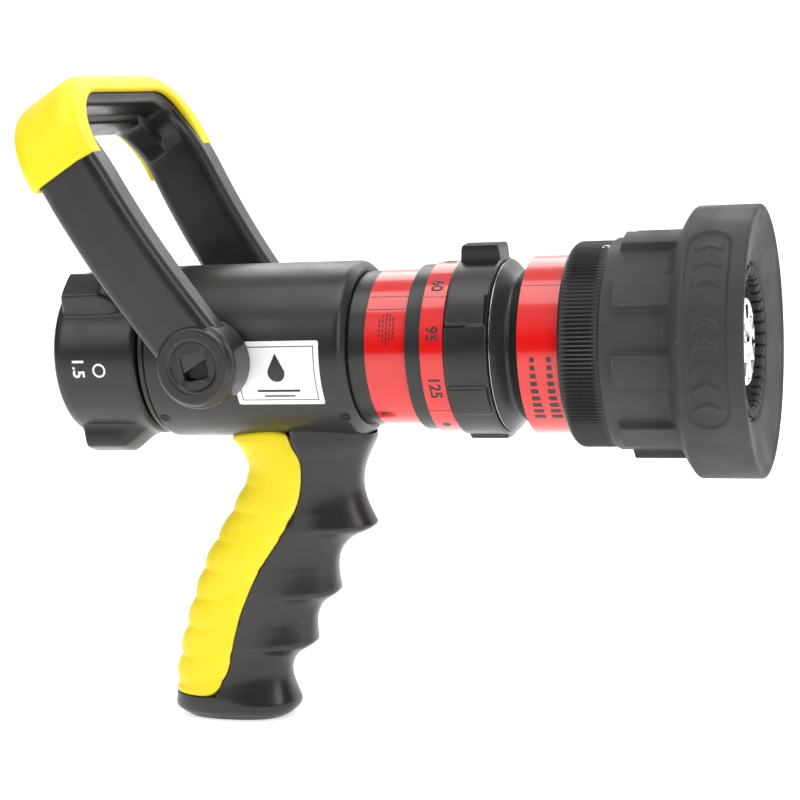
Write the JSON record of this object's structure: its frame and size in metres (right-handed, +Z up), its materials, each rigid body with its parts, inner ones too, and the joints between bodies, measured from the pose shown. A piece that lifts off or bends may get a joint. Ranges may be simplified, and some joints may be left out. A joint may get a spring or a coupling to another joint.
{
  "type": "fire hose nozzle",
  "caption": "Pistol-grip fire hose nozzle with ball shut-off bail, swivel inlet, flow selector ring and twist pattern bumper.",
  "frame": {"origin": "centre of the hose inlet's rear face, on the water axis", "axes": "+X along the water axis towards the bumper, +Z up, away from the pistol grip; the bail pivots about Y"},
  "size_m": [0.288, 0.1246, 0.2691],
  "materials": {
    "black_anodised": "hard black anodised, satin",
    "black_nylon": "moulded glass-filled nylon, semi-gloss",
    "bumper_rubber": "moulded rubber, matt",
    "seal_rubber": "smooth nitrile rubber",
    "yellow_soft": "soft-touch moulded elastomer, satin",
    "red_film": "glossy printed film",
    "white_label": "printed film label",
    "seat_plastic": "turned acetal",
    "stainless": "turned stainless steel",
    "bright_aluminium": "bright machined",
    "baffle_chrome": "polished"
  },
  "bodies": {
    "valve_body": {"valve_body": "black_anodised", "rear_seat": "seat_plastic", "front_seat": "seat_plastic", "seat_o_rings": "seal_rubber", "swivel_o_ring": "seal_rubber", "side_label": "white_label", "body_set_screws": "stainless", "grip": "black_nylon", "grip_insert": "yellow_soft", "grip_bolt": "stainless", "grip_washer": "stainless", "grip_screw": "stainless", "rear_barrel": "black_anodised", "barrel_o_ring": "seal_rubber", "rear_band": "red_film", "number_band": "red_film", "thrust_washer": "bright_aluminium", "front_barrel": "black_anodised", "joint_o_ring": "seal_rubber", "front_band": "red_film", "stem_guide": "stainless", "sleeve_o_ring": "seal_rubber"},
    "inlet_swivel": {"swivel_coupling": "black_anodised", "inlet_gasket": "seal_rubber", "inlet_screen": "stainless", "swivel_balls": "stainless", "race_plug": "stainless"},
    "bail_and_ball": {"bail": "black_nylon", "bail_cover": "yellow_soft", "bail_set_screws": "stainless", "trunnions": "stainless", "trunnion_washers": "seat_plastic", "trunnion_o_rings": "seal_rubber", "valve_ball": "stainless"},
    "flow_selector": {"selector_ring": "black_anodised", "detent_ball": "stainless", "detent_spring": "stainless", "detent_screw": "stainless"},
    "stem_and_baffle": {"stem": "stainless", "cam_pins": "stainless", "baffle_head": "baffle_chrome", "baffle_screw": "baffle_chrome"},
    "sleeve_carrier": {"glide_ring": "seat_plastic"},
    "pattern_sleeve": {"pattern_sleeve": "black_anodised", "cam_screws": "stainless", "fog_teeth_ring": "bumper_rubber", "bumper": "bumper_rubber"}
  },
  "joints": [
    {"name": "inlet_swivel", "type": "hinge", "parent": "valve_body", "child": "inlet_swivel", "pos_m": [0.029, 0, 0], "axis": [1, 0, 0], "continuous": true},
    {"name": "bail_swing", "type": "hinge", "parent": "valve_body", "child": "bail_and_ball", "pos_m": [0.072, 0, 0], "axis": [0, 1, 0], "range_deg": [0, 90]},
    {"name": "flow_select", "type": "hinge", "parent": "valve_body", "child": "flow_selector", "pos_m": [0.1765, 0, 0], "axis": [1, 0, 0], "range_deg": [-72, 72]},
    {"name": "baffle_shift", "type": "slide", "parent": "valve_body", "child": "stem_and_baffle", "axis": [1, 0, 0], "range_m": [-0.002, 0.002]},
    {"name": "pattern_shift", "type": "slide", "parent": "valve_body", "child": "sleeve_carrier", "axis": [1, 0, 0], "range_m": [-0.012, 0]},
    {"name": "pattern_twist", "type": "hinge", "parent": "sleeve_carrier", "child": "pattern_sleeve", "pos_m": [0.2405, 0, 0], "axis": [1, 0, 0], "range_deg": [0, 120]}
  ],
  "couplings": [
    {"joint": "baffle_shift", "follows": "flow_select", "m_per_rad": 0.0015914},
    {"joint": "pattern_shift", "follows": "pattern_twist", "m_per_rad": -0.005729}
  ]
}
